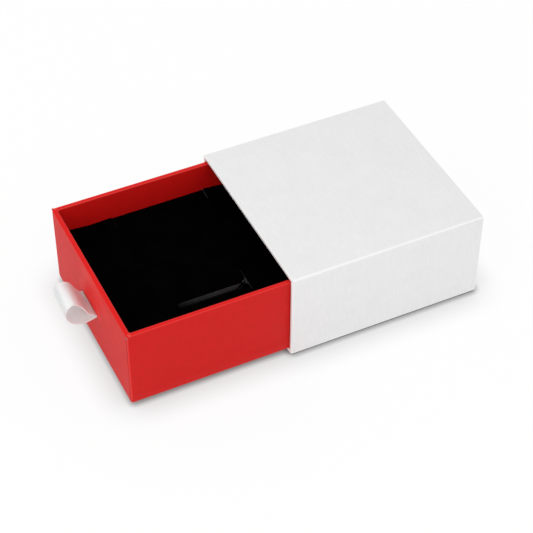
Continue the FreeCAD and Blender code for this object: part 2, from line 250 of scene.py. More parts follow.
def slice_at(piece, axis, places):
    """Cuts the whole mesh by planes across axis 0, 1 or 2."""
    edit_all(piece)
    normal = [0.0, 0.0, 0.0]
    normal[axis] = 1.0
    for place in places:
        bpy.ops.mesh.select_mode(type="FACE")
        bpy.ops.mesh.select_all(action="SELECT")
        point = [0.0, 0.0, 0.0]
        point[axis] = place
        bpy.ops.mesh.bisect(plane_co=point, plane_no=normal, use_fill=False)


def apply(piece, kind, **settings):
    """Adds a modifier with these settings and applies it."""
    work_on(piece)
    modifier = piece.modifiers.new(kind.title(), kind)
    for key, setting in settings.items():
        setattr(modifier, key, setting)
    bpy.ops.object.modifier_apply(modifier=modifier.name)


def carve(piece, tool):
    """Takes the tool's form away from the piece."""
    apply(piece, "BOOLEAN", operation="DIFFERENCE", object=tool, solver="EXACT")
    bpy.data.objects.remove(tool)


def round_edges(piece, widest, segments, groups):
    """Rounds edges: groups are pairs of a test for an edge and its radius, at most widest."""
    for wanted, radius in groups:
        pick(piece, "edges", wanted)
        bpy.ops.transform.edge_bevelweight(value=radius / widest)
    apply(
        piece, "BEVEL", limit_method="WEIGHT", width=widest, segments=segments,
        use_clamp_overlap=True,
    )


def smooth(piece, degrees=40):
    """Shades the piece smooth across edges that turn less than this."""
    work_on(piece)
    bpy.ops.object.shade_smooth_by_angle(angle=math.radians(degrees), keep_sharp_edges=False)


def mark_folds(piece):
    """Stores how far each point is into a rounding: 0 on a flat side, 1 in the middle."""
    full_fold = 0.25
    work_on(piece)
    marks = piece.data.attributes.new("fold", "FLOAT", "POINT")
    for vert in piece.data.vertices:
        flat = max(abs(part) for part in vert.normal)
        marks.data[vert.index].value = min(1.0, max(0.0, 1 - flat) / full_fold)


def near(a, b, gap=1e-5):
    """Whether two places are the same within a hundredth of a millimetre."""
    return abs(a - b) < gap


def along(edge, axis):
    """Whether a straight edge runs along axis 0, 1 or 2."""
    run = edge.verts[1].co - edge.verts[0].co
    return abs(run[axis]) > 0.999 * run.length


def edge_at(edge, **planes):
    """Whether the whole edge lies at these x, y or z."""
    return all(
        near(getattr(v.co, axis), place) for v in edge.verts for axis, place in planes.items())


def face_towards(face, direction, at=None):
    """Whether a face looks along a direction and, if at is given, lies that far along it."""
    direction = Vector(direction)
    if face.normal.dot(direction) < 0.999:
        return False
    return at is None or near(face.calc_center_median().dot(direction), at)


def joined(name, *pieces):
    """The pieces as one mesh."""
    finish_editing()
    for piece in pieces:
        piece.select_set(True)
    bpy.context.view_layer.objects.active = pieces[0]
    bpy.ops.object.join()
    pieces[0].name = name
    return pieces[0]


# ---- Materials


class Nodes:
    """A node tree made a step at a time. A value is a number, a colour or another node's output."""

    def __init__(self, tree):
        self.nodes = tree.nodes
        self.links = tree.links

    def node(self, kind, **settings):
        made = self.nodes.new(kind)
        for name, value in settings.items():
            setattr(made, name, value)
        return made

    def feed(self, node, **sockets):
        """Gives a node's inputs their values. An input goes by its name, or as _0, _1 and so on."""
        for name, value in sockets.items():
            socket = node.inputs[int(name[1:]) if name[0] == "_" else name.replace("_", " ")]
            if isinstance(value, bpy.types.NodeSocket):
                self.links.new(value, socket)
            elif socket.type == "RGBA":
                socket.default_value = (*value, 1)
            else:
                socket.default_value = value

    def math(self, operation, a, b, c=0.0):
        made = self.node("ShaderNodeMath", operation=operation)
        self.feed(made, _0=a, _1=b, _2=c)
        return made.outputs[0]

    def times(self, *shares):
        """The product of numbers."""
        product = shares[0]
        for share in shares[1:]:
            product = self.math("MULTIPLY", product, share)
        return product

    def between(self, value, low, high, out_low=0.0, out_high=1.0):
        """The value stretched from low..high to out_low..out_high, and held there."""
        made = self.node("ShaderNodeMapRange", clamp=True)
        self.feed(made, Value=value, _1=low, _2=high, _3=out_low, _4=out_high)
        return made.outputs[0]

    def split(self, vector):
        """A vector's three parts."""
        made = self.node("ShaderNodeSeparateXYZ")
        self.feed(made, _0=vector)
        return tuple(made.outputs)

    def layered(self, share, under, over):
        """One shader where share is 0, the other where it is 1."""
        made = self.node("ShaderNodeMixShader")
        self.feed(made, _0=share, _1=under.outputs[0], _2=over.outputs[0])
        return made


class Finish(Nodes):
    """A material of one shader, on the piece's own coordinates."""

    def __init__(self, name, **shader):
        self.material = bpy.data.materials.new(name)
        self.material.use_nodes = True
        super().__init__(self.material.node_tree)
        self.shader = self.nodes["Principled BSDF"]
        self.place = self.node("ShaderNodeTexCoord").outputs["Object"]
        self.set(**shader)

    def set(self, **sockets):
        self.feed(self.shader, **sockets)

    def scaled(self, scale, move=(0, 0, 0), source=None):
        """Coordinates times a scale, which is one number or one for each axis."""
        mapping = self.node("ShaderNodeMapping")
        scale = scale if hasattr(scale, "__len__") else (scale,) * 3
        self.feed(mapping, Vector=source or self.place, Location=move, Scale=scale)
        return mapping.outputs["Vector"]

    def noise(self, scale, detail=2.0, roughness=0.5, source=None):
        """Noise from 0 to 1 whose features are about 1 / scale metres."""
        made = self.node("ShaderNodeTexNoise")
        place = self.scaled(scale, source=source)
        self.feed(made, Vector=place, Scale=1.0, Detail=detail, Roughness=roughness)
        return made.outputs["Fac"]

    def cells(self, scale):
        """Distance to the middle of the nearest cell, with about scale cells to a metre."""
        made = self.node("ShaderNodeTexVoronoi", feature="F1")
        self.feed(made, Vector=self.scaled(scale), Scale=1.0)
        return made.outputs["Distance"]

    def mix(self, share, a, b):
        """Colour a where share is 0, b where it is 1."""
        made = self.node("ShaderNodeMix", data_type="RGBA")
        self.feed(made, _0=share, _6=a, _7=b)
        return made.outputs[2]

    def spot(self, middle, radius):
        """A soft round spot: 1 in its inner part, 0 beyond its radius."""
        gap = self.node("ShaderNodeVectorMath", operation="DISTANCE")
        self.feed(gap, _0=self.place, _1=middle)
        return self.between(gap.outputs["Value"], radius, 0.4 * radius)

    def oval(self, middle, length, outer, inner):
        """A soft oval, length times as long as high: 1 within inner, 0 beyond outer."""
        squeeze = Vector((1 / length, 1, 1))
        away = self.node("ShaderNodeVectorMath", operation="LENGTH")
        self.feed(away, _0=self.scaled(squeeze, move=-squeeze * Vector(middle)))
        return self.between(away.outputs["Value"], outer, inner)

    def mark(self, name):
        """A number that the piece's mesh carries."""
        return self.node("ShaderNodeAttribute", attribute_name=name).outputs["Fac"]

    def bump(self, height, strength, distance):
        """Relief: a height from 0 to 1 stands for this distance."""
        made = self.node("ShaderNodeBump")
        self.feed(made, Height=height, Strength=strength, Distance=distance)
        self.set(Normal=made.outputs[0])


def shade(colour, factor):
    """The colour made lighter or darker."""
    return tuple(min(1.0, part * factor) for part in colour)


def linen_paper(name, colour, thread):
    """Matt paper embossed with fine threads round the sleeve and a weaker set across them."""
    finish = Finish(name, Roughness=0.72, Specular_IOR_Level=0.4)
    fine, coarse = 1 / thread, 1 / (12 * thread)
    threads = finish.noise((coarse, fine, coarse), detail=3.0, roughness=0.65)
    weft = finish.noise((fine, coarse, fine), detail=2.0, roughness=0.6)
    weave = finish.math("MULTIPLY_ADD", weft, 0.35, threads)
    clouds = finish.noise(90, detail=2.0)
    tone = finish.between(finish.math("MULTIPLY_ADD", clouds, 0.35, weave), 0.55, 1.15)
    body = finish.mix(tone, shade(colour, 0.94), shade(colour, 1.035))
    # Painted highlight: the paper is painted lighter where it rounds over an edge.
    finish.set(Base_Color=finish.mix(finish.mark("fold"), body, shade(colour, 1.14)))
    finish.bump(weave, 0.25, 0.06 * MM)
    return finish.material


def red_paper(colour):
    """Satin paper, faintly cloudy with short fibres, scuffed where it wears, with painted light."""
    front, rim, side = TRAY_LOW.y, TRAY_HIGH.z, TRAY_HIGH.x
    finish = Finish("red_paper", Roughness=0.5, Specular_IOR_Level=0.165)
    x, y, z = finish.split(finish.place)

    def tint(factor, green, blue):
        """The paper's red made stronger, with its own green and blue."""
        return min(1, factor * colour[0]), green, blue

    clouds = finish.noise(300, detail=3.0, roughness=0.6)
    fibres = finish.noise((3000, 3000, 500), detail=2.0, roughness=0.6)
    tone = finish.between(finish.math("MULTIPLY_ADD", fibres, 0.5, clouds), 0.45, 1.05)
    body = finish.mix(tone, shade(colour, 0.94), shade(colour, 1.06))

    # Painted light: the front is painted a lighter red above the pull and right over its slit.
    painted_light_above_pull = finish.times(finish.oval((6 * MM, front, 31.5 * MM), 2, 9 * MM, 2.5 * MM), 0.85)
    body = finish.mix(painted_light_above_pull, body, tint(1.25, 0.036, 0.032))
    painted_light_by_slit = finish.oval((0, front, 21.5 * MM), 1 / 0.6, 8 * MM, 2.5 * MM)
    painted_light_by_slit = finish.times(painted_light_by_slit, 0.85, finish.between(z, 18.4 * MM, 20 * MM))
    body = finish.mix(painted_light_by_slit, body, tint(1.65, 0.044, 0.038))

    # Painted light: the rim's top and the front's turned edge are painted a brighter, clearer red,
    # and the other roundings a paler red as a painted sheen.
    on_rim = finish.between(z, rim - 0.3 * MM, rim - 0.05 * MM)
    turned = finish.times(
        finish.between(y, front + 0.7 * MM, front + 0.5 * MM),
        finish.between(z, rim - 0.75 * MM, rim - 0.5 * MM),
    )
    body = finish.mix(finish.math("MAXIMUM", on_rim, turned), body, tint(1.18, 0.004, 0.003))
    folded = finish.times(finish.mark("fold"), finish.math("SUBTRACT", 1.0, turned))
    body = finish.mix(folded, body, tint(1.28, 0.046, 0.04))

    # The end sheet's cut edge shows darker down both sides of the front, most of all near the rim.
    across = finish.math("ABSOLUTE", x, 0.0)
    seam = finish.times(
        finish.between(across, side - 1.0 * MM, side - 0.8 * MM),
        finish.between(across, side, side - 0.25 * MM),
        finish.between(y, front + 0.25 * MM, front + 0.1 * MM),
        finish.between(z, rim - 14 * MM, rim - 1.5 * MM, 0.12, 0.75),
        finish.between(clouds, 0.25, 0.6, 0.4, 1.0),
    )
    body = finish.mix(seam, body, (0.24, 0.035, 0.03))

    # The front's two upper corners get a painted highlight on the rim and are scuffed to the grey
    # board below.
    scuffed, corner_highlights = 0.0, 0.0
    for corner in (TRAY_HIGH.x, TRAY_LOW.x):
        inward = math.copysign(MM, -corner)
        scuff = finish.spot((corner + 0.6 * inward, front, rim - 0.9 * MM), 0.75 * MM)
        corner_highlight = finish.spot((corner + 0.7 * inward, front + 1.3 * MM, rim), 0.9 * MM)
        scuffed = finish.math("MAXIMUM", scuffed, scuff)
        corner_highlights = finish.math("MAXIMUM", corner_highlights, corner_highlight)
    body = finish.mix(corner_highlights, body, tint(1.35, 0.065, 0.05))
    grit = finish.between(finish.noise(4200, detail=1.0), 0.42, 0.55)
    finish.set(
        Base_Color=finish.mix(finish.times(scuffed, grit, 0.7), body, (0.42, 0.36, 0.35)),
        Roughness=finish.between(fibres, 0.3, 0.7, 0.46, 0.54),
    )
    finish.bump(fibres, 0.2, 0.04 * MM)
    return finish.material


def velvet(name, colour):
    """Short black pile that swallows light, with a few paler fibre ends."""
    finish = Finish(name, Roughness=1.0, Specular_IOR_Level=0.0, Sheen_Weight=0.0)
    pile = finish.noise(3500, detail=2.0, roughness=0.7)
    brushed = finish.between(finish.noise(120, detail=2.0), 0.35, 0.7, 0.3, 1.0)
    ends = finish.times(finish.between(pile, 0.42, 0.75), brushed)
    finish.set(Base_Color=finish.mix(ends, colour, shade(colour, 9)))
    finish.bump(pile, 0.6, 0.2 * MM)
    return finish.material


def foam(colour, fade=None):
    """Cut foam with fine open cells, darker before the first of fade's two places along the drawer.
    """
    finish = Finish("grey_foam", Roughness=0.95, Specular_IOR_Level=0.15)
    cells = finish.cells(3200)
    body = finish.mix(finish.between(cells, 0.15, 0.75), shade(colour, 0.45), shade(colour, 1.2))
    if fade:
        dark = finish.between(finish.split(finish.place)[1], *fade, 0.75, 0.0)
        body = finish.mix(dark, body, (0, 0, 0))
    finish.set(Base_Color=body)
    finish.bump(cells, 0.7, 0.2 * MM)
    return finish.material


def board(name, colour, grain):
    """Pressed pulp: specks of lighter and darker fibre."""
    finish = Finish(name, Roughness=0.85, Specular_IOR_Level=0.2)
    fibre = finish.noise(grain, detail=4.0, roughness=0.7)
    specks = finish.between(finish.noise(2600, detail=1.0), 0.62, 0.7)
    body = finish.mix(finish.between(fibre, 0.3, 0.7), shade(colour, 0.82), shade(colour, 1.12))
    finish.set(Base_Color=finish.mix(specks, body, shade(colour, 0.5)))
    finish.bump(fibre, 0.4, 0.1 * MM)
    return finish.material


def plain_paper(name, colour):
    """Smooth lining paper with a little tooth."""
    finish = Finish(name, Roughness=0.8, Specular_IOR_Level=0.35)
    tooth = finish.noise(2200, detail=3.0, roughness=0.6)
    tone = finish.between(tooth, 0.3, 0.7)
    finish.set(Base_Color=finish.mix(tone, shade(colour, 0.97), shade(colour, 1.02)))
    finish.bump(tooth, 0.3, 0.05 * MM)
    return finish.material


def ripples(finish, length, pitch):
    """Waves from 0 to 1 along a length, one to each pitch."""
    turns = finish.times(length, 2 * math.pi / pitch)
    return finish.between(finish.math("SINE", turns, 0.0), -1, 1)


def satin(name, colour, glow, before_loop=None):
    """Satin weave on the ribbon's own map: long floats along it and a tight selvedge at each side.

    Glow is how much light the cloth lets in. Where before_loop gives the length of cloth before
    the loop, light is painted on: a highlight on the loop's crest, shade on the flank past it,
    and the hollow before it painted less red against the red light the front throws there."""
    finish = Finish(
        name, Roughness=0.36, Specular_IOR_Level=0.6, Anisotropic=0.5, Sheen_Weight=0.25,
        Sheen_Roughness=0.4, Subsurface_Weight=glow, Subsurface_Scale=1.6 * MM,
        Subsurface_Radius=(1, 1, 1),
    )
    cloth = finish.node("ShaderNodeUVMap", uv_map="cloth").outputs[0]
    width, length, _ = finish.split(cloth)
    floats = finish.noise((9000, 900, 1), detail=2.0, roughness=0.6, source=cloth)
    # Painted sheen: faint lighter and darker bands along the ribbon.
    lustre = finish.noise((1, 260, 1), detail=1.0, source=cloth)
    aside = finish.math("ABSOLUTE", finish.math("SUBTRACT", width, RIBBON_HALF), 0.0)
    selvedge = finish.between(aside, RIBBON_HALF - 0.6 * MM, RIBBON_HALF - 0.3 * MM)
    edge = finish.times(selvedge, ripples(finish, length, 0.55 * MM))
    sheen = finish.between(lustre, 0.3, 0.7)
    tone = finish.math("MULTIPLY_ADD", sheen, 0.8, finish.between(floats, 0.3, 0.7, 0.0, 0.2))
    tone = finish.mix(tone, shade(colour, 0.97), shade(colour, 1.03))
    # Painted light along the loop: the hollow painted less red, a painted highlight on the crest and
    # painted shade on the flank.
    if before_loop is not None:
        hollow, crest, flank = (
            finish.between(length, before_loop + start * MM, before_loop + end * MM)
            for start, end in ((13.5, 9.0), (13.6, 14.4), (14.5, 16.5)))
        tone = finish.mix(hollow, tone, (0.84 * colour[0], 1.02 * colour[1], 1.02 * colour[2]))
        tone = finish.mix(finish.times(crest, 0.5), tone, (1, 1, 1))
        tone = finish.mix(flank, tone, shade(colour, 0.75))
    tangent = finish.node("ShaderNodeTangent", direction_type="UV_MAP", uv_map="cloth")
    finish.set(
        Base_Color=finish.mix(finish.times(edge, 0.25), tone, shade(colour, 0.85)),
        Tangent=tangent.outputs[0],
    )
    finish.bump(finish.math("MULTIPLY_ADD", floats, 0.25, edge), 0.35, 0.08 * MM)
    return finish.material


def satin_edge(colour):
    """The ribbon's woven edge: small bright loops of thread side by side."""
    finish = Finish("white_satin_edge", Roughness=0.6, Specular_IOR_Level=0.4)
    _, length, _ = finish.split(finish.node("ShaderNodeUVMap", uv_map="cloth").outputs[0])
    loops = ripples(finish, length, 1.1 * MM)
    finish.set(Base_Color=finish.mix(loops, shade(colour, 0.86), shade(colour, 1.1)))
    return finish.material


def wear(piece, *materials):
    """Gives a piece its materials, the first of them all over."""
    piece.data.materials.clear()
    for material in materials:
        piece.data.materials.append(material)


def dress_node(name, material):
    """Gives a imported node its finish."""
    node = NODES[name]
    if not node.material_slots:
        node.data.materials.append(material)
    for held in node.material_slots:
        held.material = material


# ---- Pieces


class GIFTBOX_OT_boards(bpy.types.Operator):
    """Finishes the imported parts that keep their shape: boards, tapes, lining, sheets and strips"""

    bl_idname = "giftbox.boards"
    bl_label = "Boards, tapes and linings"

    def execute(self, context):
        paper = context.scene.gift_box_paper
        grey = board("grey_board", (0.36, 0.35, 0.33), 700)
        kraft = board("kraft_tape", (0.42, 0.28, 0.16), (300, 300, 2500))
        lining = plain_paper("white_lining_paper", (0.78, 0.78, 0.77))
        white = linen_paper("white_linen_base", paper.white, paper.thread)
        finishes = {name: grey for name in NODES if name.endswith("_board")}
        finishes |= {
            "insert_support_left": grey, "insert_support_right": grey, "drawer_corner_tapes": kraft,
            "ribbon_patch": kraft, "sleeve_lining": lining, "sleeve_base_sheet": white,
            "drawer_base_lining": red_paper(paper.red),
        }
        for name, material in finishes.items():
            dress_node(name, material)
        return {"FINISHED"}


class GIFTBOX_OT_sleeve(bpy.types.Operator):
    """Wraps the sleeve: linen paper round its long and back edges, folded into its mouth"""

    bl_idname = "giftbox.sleeve"
    bl_label = "Sleeve paper"

    def execute(self, context):
        paper = context.scene.gift_box_paper
        low, high = SLEEVE_LOW, SLEEVE_HIGH
        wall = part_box("sleeve_left_board")[1].x + high.x + paper.thickness
        turned_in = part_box("sleeve_lining")[0].y - low.y
        pasted = 0.8 * paper.thickness
        back = high.y - pasted
        piece = add_block("sleeve_paper", low, high - Vector((0, pasted, 0)))
        pick(piece, "faces", lambda f: face_towards(f, (0, -1, 0)))
        bpy.ops.mesh.inset(thickness=wall)
        extrude(y=turned_in)
        bpy.ops.mesh.delete(type="FACE")
        round_edges(piece, paper.sleeve_radius, 8, [
            (lambda e: along(e, 1) and near(abs(e.verts[0].co.x), high.x), paper.sleeve_radius),
            (lambda e: edge_at(e, y=back), 0.8 * paper.sleeve_radius),
            (lambda e: edge_at(e, y=low.y) and not along(e, 1), paper.rim_radius),
        ])
        mark_folds(piece)
        # The back is a sheet of its own, pasted on a little in from the edges.
        pick(piece, "faces", lambda f: face_towards(f, (0, 1, 0), back))
        bpy.ops.mesh.inset(thickness=0.9 * MM)
        extrude(y=pasted)
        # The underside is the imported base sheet.
        pick(piece, "faces", lambda f: face_towards(f, (0, 0, -1), 0))
        bpy.ops.mesh.delete(type="FACE")
        apply(piece, "SOLIDIFY", thickness=paper.thickness, offset=-1)
        smooth(piece)
        wear(piece, linen_paper("white_linen_paper", paper.white, paper.thread))
        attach(piece, "sleeve")
        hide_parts("sleeve_wrap")
        return {"FINISHED"}


class GIFTBOX_OT_drawer(bpy.types.Operator):
    """Wraps the drawer: red paper round the tray, over its rim and inside, slit for the ribbon"""

    bl_idname = "giftbox.drawer"
    bl_label = "Drawer paper"

    def execute(self, context):
        paper = context.scene.gift_box_paper
        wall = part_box("drawer_front_board")[1].y + paper.thickness - TRAY_LOW.y
        flap = paper.flap_step
        low, high = TRAY_LOW + Vector((0, flap, 0)), TRAY_HIGH - Vector((0, flap, 0))
        inner_x = high.x - wall
        down_inside = 15 * MM
        piece = add_block("drawer_paper", low, high)
        pick(piece, "faces", lambda f: face_towards(f, (0, 0, 1)))
        bpy.ops.mesh.inset(thickness=wall)
        extrude(z=-down_inside)
        bpy.ops.mesh.delete(type="FACE")
        for side, edge in ((-1, low.y), (1, high.y)):
            pick(piece, "verts", lambda v: near(v.co.y, edge - side * wall))
            push(y=side * flap)

        def outside(vert):
            """Whether a point is on the tray's outer upright faces."""
            return near(abs(vert.co.x), high.x) or near(vert.co.y, low.y) or near(vert.co.y, high.y)

        round_edges(piece, paper.corner_radius, 6, [
            (lambda e: along(e, 2) and all(map(outside, e.verts)), paper.corner_radius),
            (lambda e: edge_at(e, z=low.z), paper.corner_radius),
            (lambda e: edge_at(e, z=high.z) and all(map(outside, e.verts)), paper.rim_radius),
            (lambda e: edge_at(e, z=high.z) and not any(map(outside, e.verts)),
             0.8 * paper.rim_radius),
            (lambda e: along(e, 2) and near(abs(e.verts[0].co.x), inner_x), 0.2 * MM),
        ])
        mark_folds(piece)
        margin = high.x - 0.85 * MM
        slice_at(piece, 0, (-margin, margin))
        pick(piece, "faces", lambda f: on_end_flap(f, low, high, margin))
        bpy.ops.mesh.extrude_region_shrink_fatten(TRANSFORM_OT_shrink_fatten={"value": flap})
        apply(piece, "SOLIDIFY", thickness=paper.thickness, offset=-1)
        folds = [corner_fold(x, y, TRAY_HIGH.z, wall)
                 for x in (TRAY_LOW.x, TRAY_HIGH.x) for y in (TRAY_LOW.y, TRAY_HIGH.y)]
        slack = 0.2 * MM
        half_slit = 0.6 * MM
        middle = TAILS_HIGH.z - 0.4 * MM
        carve(piece, add_block(
            "slit_tool",
            (TAILS_LOW.x - slack, TRAY_LOW.y - MM, middle - half_slit),
            (TAILS_HIGH.x + slack, TRAY_LOW.y + wall + MM, middle + half_slit),
        ))
        piece = joined("drawer_paper", piece, *folds)
        smooth(piece)
        wear(piece, red_paper(paper.red))
        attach(piece, "drawer")
        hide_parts("drawer_wrap")
        return {"FINISHED"}


def on_end_flap(face, low, high, margin):
    """Whether a face is where an end sheet laps over the sides' tabs, up the end and on its rim."""
    lap = 0.95 * MM
    at = face.calc_center_median()
    if abs(at.x) > margin or at.z < low.z + 0.2 * MM or abs(face.normal.x) > 0.5:
        return False
    return at.y < low.y + lap or at.y > high.y - lap


def corner_fold(x, y, rim, wall):
    """The paper's mitred fold on a corner of the rim: a low ridge across it and a tuck inside."""
    towards = (-math.copysign(1, x), 1 if y < (TRAY_LOW.y + TRAY_HIGH.y) / 2 else -1)

    def inward(reach, height):
        """A place on the corner's diagonal."""
        return x + towards[0] * reach, y + towards[1] * reach, height

    turn = math.atan2(towards[1], towards[0])
    finish_editing()
    bpy.ops.mesh.primitive_cube_add(
        size=1, location=inward(0.52 * wall, rim), rotation=(0, 0, turn),
        scale=(1.3 * wall, 0.7 * MM, 0.3 * MM),
    )
    ridge = settled("corner_ridge")
    apply(ridge, "BEVEL", width=0.14 * MM, segments=3)
    finish_editing()
    bpy.ops.mesh.primitive_uv_sphere_add(
        segments=12, ring_count=8, radius=0.4 * MM, scale=(1, 1, 1.1),
        location=inward(wall + 0.12 * MM, rim - 0.5 * MM),
    )
    fold = joined("corner_fold", ridge, settled("corner_tuck"))
    mark_folds(fold)
    return fold


LIP_ROOT = 1.5 * MM
LIP_SLICES = (14, 24)  # across a lip and along the slot
CHAIN_SLITS = (-82.8 * MM, -43.6 * MM)
CHAIN_SLIT_LENGTH = 5.2 * MM
# How much the cover's edge stands proud along the drawer's far wall: place and height in mm.
COVER_EDGE = (
    (-104, 1.2), (-100.4, 1.1), (-96.5, 0.75), (-92.7, 0.4), (-91.3, 0.3), (-86.4, 0.6),
    (-83, 0.65), (-71.8, 0.75), (-53.7, 0.8), (-43.7, 0.95), (-39, 0.6), (-35, 0.2), (-28, 0.3),
)


class GIFTBOX_OT_insert(bpy.types.Operator):
    """Fills the drawer: a foam pad under a velvet cover with two chain slits and a ring slot"""

    bl_idname = "giftbox.insert"
    bl_label = "Velvet insert"

    def execute(self, context):
        insert = context.scene.gift_box_insert
        skin = 0.5 * MM
        pad = foam_pad(insert, skin)
        velvet_cover(insert, skin)
        return {"FINISHED"}


def foam_pad(insert, skin):
    """The pad, a skin's thickness smaller than the insert, with the hollow under the ring slot."""
    low, high = PAD_LOW, PAD_HIGH
    slot = ring_slot()
    hollow = 6.5 * MM
    pad = add_block("foam_pad", low + Vector((skin, skin, 0)), high - Vector((skin, skin, skin)))
    round_edges(pad, insert.edge_radius, 4, [
        (lambda e: edge_at(e, z=high.z - skin) or along(e, 2), 0.6 * insert.edge_radius),
    ])
    carve(pad, add_block(
        "slot_tool", (slot[0].x, slot[0].y, high.z - hollow), (slot[1].x, slot[1].y, high.z + MM)))
    smooth(pad, 30)
    # Painted shade: the pad's foam is darkened to three tenths, for the shade down in the ring slot.
    wear(pad, foam(shade(insert.foam, 0.3)))
    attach(pad, "drawer")
    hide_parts("insert_pad")
    return pad


def velvet_cover(insert, skin):
    """The velvet over the pad and down its edges, cut for the ring slot and the chain."""
    low, high = PAD_LOW, PAD_HIGH
    slot = ring_slot()
    half_cut = 0.15 * MM

    def cut_away(wanted):
        """Deletes the upper faces whose middles wanted() takes."""
        up = (0, 0, 1)
        pick(cover, "faces", lambda f: face_towards(f, up) and wanted(f.calc_center_median()))
        bpy.ops.mesh.delete(type="FACE")

    cover = add_block("velvet_cover", low, high)
    pick(cover, "faces", lambda f: face_towards(f, (0, 0, -1)))
    bpy.ops.mesh.delete(type="FACE")
    slice_at(cover, 0, (slot[0].x - LIP_ROOT, slot[1].x + LIP_ROOT))
    slice_at(cover, 1, (slot[0].y, slot[1].y))
    cut_away(lambda at: in_slot(at, slot))
    slice_at(cover, 1, [place + side * half_cut for place in CHAIN_SLITS for side in (-1, 1)])
    slice_at(cover, 0, [low.x + 0.12 * MM, low.x + CHAIN_SLIT_LENGTH])
    cut_away(in_slits)
    slice_at(cover, 1, [low.y + step * MM for step in range(3, 76, 3)])
    slice_at(cover, 0, [low.x + step * MM for step in (2, 3.6, 9, 16)])
    finish_editing()
    for vert in cover.data.vertices:
        at = vert.co
        if not near(at.z, high.z):
            continue
        on_tab = CHAIN_SLITS[0] + 0.1 * MM < at.y < CHAIN_SLITS[1] - 0.1 * MM
        wall_side = max(0.0, 1 - (at.x - low.x) / (9 * MM))
        at.z += (edge_rise(at.y) - (insert.tab_sag if on_tab else 0)) * wall_side ** 2
    round_edges(cover, insert.edge_radius, 4, [
        (lambda e: e.is_manifold and e.calc_face_angle(0) > 1.2, insert.edge_radius),
    ])
    cut_edge = velvet("velvet_cut_edge", shade(insert.foam, 0.14))
    wear(cover, velvet("black_velvet", insert.velvet), cut_edge)
    apply(cover, "SOLIDIFY", thickness=skin * 0.98, offset=-1, material_offset_rim=1)
    smooth(cover, 50)
    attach(cover, "drawer")
    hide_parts("insert_cover")


def ring_slot():
    """The ring slot's two corners, at the height of the insert's top."""
    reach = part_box("ring_flap_far")
    gap = 0.15 * MM
    return (
        Vector((hinge("far_flap_fold")[0], reach[0].y - gap, PAD_HIGH.z)),
        Vector((hinge("near_flap_fold")[0], reach[1].y + gap, PAD_HIGH.z)),
    )


def in_slot(at, slot):
    """Whether a place is over the ring slot or its lips' roots."""
    return slot[0].x - LIP_ROOT < at.x < slot[1].x + LIP_ROOT and slot[0].y < at.y < slot[1].y


def in_slits(at):
    """Whether a place is in one of the chain slits."""
    by_wall = at.x < PAD_LOW.x + CHAIN_SLIT_LENGTH
    return by_wall and any(near(at.y, y, 0.14 * MM) for y in CHAIN_SLITS)


def edge_rise(y):
    """How much the cover's edge stands proud at a place along the drawer's far wall."""
    y /= MM
    for (a, low), (b, high) in zip(COVER_EDGE, COVER_EDGE[1:]):
        if a <= y <= b:
            return (low + (high - low) * (y - a) / (b - a)) * MM
    return 0.0


class Lip(NamedTuple):
    """One lip of the ring slot. Lengths are in mm and angles in degrees."""

    side: str
    way: int  # along X, into the slot
    thick: float
    run: float  # from the fold to the free side
    fall: float  # how far the lip hangs down
    end_fall: float  # the same at the slot's back end
    end_fold: float  # how far past the fold the lip bends at that end
    end_reach: float  # times as long there


LIPS = (
    Lip("far", 1, thick=3.4, run=4.2, fall=17, end_fall=75, end_fold=1.9, end_reach=1.0),
    Lip("near", -1, thick=4.2, run=4.6, fall=36, end_fall=42, end_fold=2.3, end_reach=1.4),
)


class GIFTBOX_OT_flaps(bpy.types.Operator):
    """Adds the ring slot's two lips: velvet over foam, bent down into the slot"""

    bl_idname = "giftbox.flaps"
    bl_label = "Ring flaps"

    def execute(self, context):
        insert = context.scene.gift_box_insert
        slot = ring_slot()
        red, green, blue = insert.foam
        cloth = velvet("black_velvet_lip", insert.velvet)
        core = foam((0.9 * red, green, blue), (slot[0].y, slot[0].y + 14 * MM))
        for lip, fold in zip(LIPS, (slot[0].x, slot[1].x)):
            start = fold - lip.way * LIP_ROOT
            length = lip.run * MM + LIP_ROOT
            piece = add_block(f"ring_lip_{lip.side}", *lip_box(lip, start, fold, slot))
            across, lengthways = LIP_SLICES
            slot_length = slot[1].y - slot[0].y
            slice_at(piece, 0, [
                start + lip.way * length * step / across for step in range(1, across)])
            slice_at(piece, 1, [
                slot[0].y + slot_length * step / lengthways for step in range(1, lengthways)])
            finish_editing()
            bend_lip(piece, lip, fold, slot)
            round_edges(piece, 0.5 * MM, 3, [
                (lambda e: e.calc_face_angle(0) > 1.0 and top_tip(e, fold, lip.way), 0.45 * MM),
            ])
            smooth(piece, 40)
            wear(piece, cloth, core)
            for face in piece.data.polygons:
                face.material_index = 0 if face.normal.z > 0.45 else 1
            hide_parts(f"ring_flap_{lip.side}")
            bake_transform(piece)
        return {"FINISHED"}


def lip_box(lip, start, fold, slot):
    """The two corners of a lip before it is bent."""
    tip = fold + lip.way * lip.run * MM
    gap = 0.12 * MM
    return (
        (min(start, tip), slot[0].y + gap, PAD_HIGH.z - lip.thick * MM),
        (max(start, tip), slot[1].y - gap, PAD_HIGH.z),
    )


